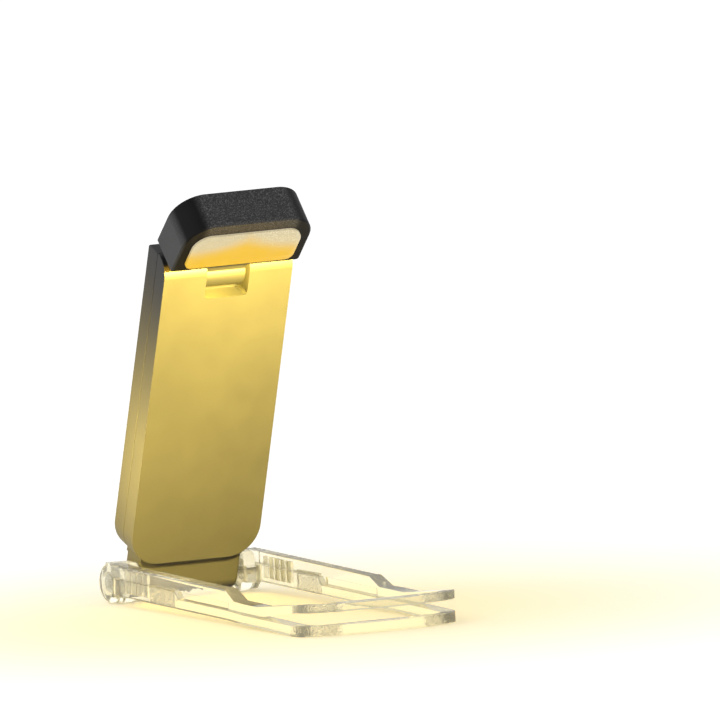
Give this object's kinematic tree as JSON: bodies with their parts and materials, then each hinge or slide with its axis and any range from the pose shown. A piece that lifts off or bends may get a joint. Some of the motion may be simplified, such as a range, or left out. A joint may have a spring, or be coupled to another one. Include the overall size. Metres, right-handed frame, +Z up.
{
  "type": "clip-on book light",
  "caption": "Slim black reading light with a tilting head, standing on a clear two-jaw clip that opens to hold a book's page or cover.",
  "frame": {"origin": "on the floor, below the middle of the lamp's overall box, as it stands on its clip", "axes": "+X across the width, to the right seen from the lens side; +Y from the clip's open end towards the hinge; +Z up"},
  "size_m": [0.0458, 0.1228, 0.1064],
  "materials": {
    "clear_plastic": "clear moulded plastic with a fine frosted texture in places",
    "black_plastic": "fine matte grain, charcoal black",
    "button_plastic": "satin, a little lighter than the case",
    "steel": "plain drawn wire and rod",
    "bearing_plastic": "plain natural plastic",
    "battery_wrap": "plain foil wrap",
    "board_green": "solder mask",
    "chip_black": "moulded chips",
    "white_plastic": "plain white",
    "light_chip": "phosphor-coated light chips",
    "frosted_lens": "frosted, with shallow facets"
  },
  "bodies": {
    "clip": {"lower_jaw": "clear_plastic", "left_hinge_pin": "steel", "right_hinge_pin": "steel", "left_jaw_spring": "steel", "right_jaw_spring": "steel", "left_washer": "bearing_plastic", "right_washer": "bearing_plastic"},
    "clip_upper": {"upper_jaw": "clear_plastic"},
    "lamp": {"foot": "black_plastic", "left_bush": "bearing_plastic", "right_bush": "bearing_plastic", "front_shell": "black_plastic", "back_cover": "black_plastic", "case_screws": "steel", "battery": "battery_wrap", "main_board": "board_green", "board_chips": "chip_black", "charging_port": "steel", "tact_switch": "chip_black", "status_light": "frosted_lens", "led_cable": "white_plastic", "head_pin": "steel", "head_washers": "bearing_plastic"},
    "button": {"power_button": "button_plastic", "switch_plunger": "bearing_plastic"},
    "head": {"head_tongue": "black_plastic", "head_housing": "black_plastic", "head_back": "black_plastic", "reflector": "white_plastic", "led_board": "white_plastic", "leds": "light_chip", "lens": "frosted_lens"}
  },
  "joints": [
    {"name": "jaw_opening", "type": "hinge", "parent": "clip", "child": "clip_upper", "pos_m": [0, 0.05615, 0.00518], "axis": [-1, 0, 0], "range_deg": [0, 8], "stiffness_Nm_per_rad": 0.02, "springref_deg": -57.3},
    {"name": "lamp_fold", "type": "hinge", "parent": "clip", "child": "lamp", "pos_m": [0, 0.05615, 0.00518], "axis": [1, 0, 0], "range_deg": [-109.7, 70.3]},
    {"name": "head_tilt", "type": "hinge", "parent": "lamp", "child": "head", "pos_m": [0, 0.02541, 0.08518], "axis": [1, 0, 0], "range_deg": [-25.7, 64.3]},
    {"name": "button_press", "type": "slide", "parent": "lamp", "child": "button", "axis": [0, -0.9335, -0.3586], "range_m": [0, 0.00025], "stiffness_N_per_m": 1500, "springref_m": -0.0004}
  ]
}
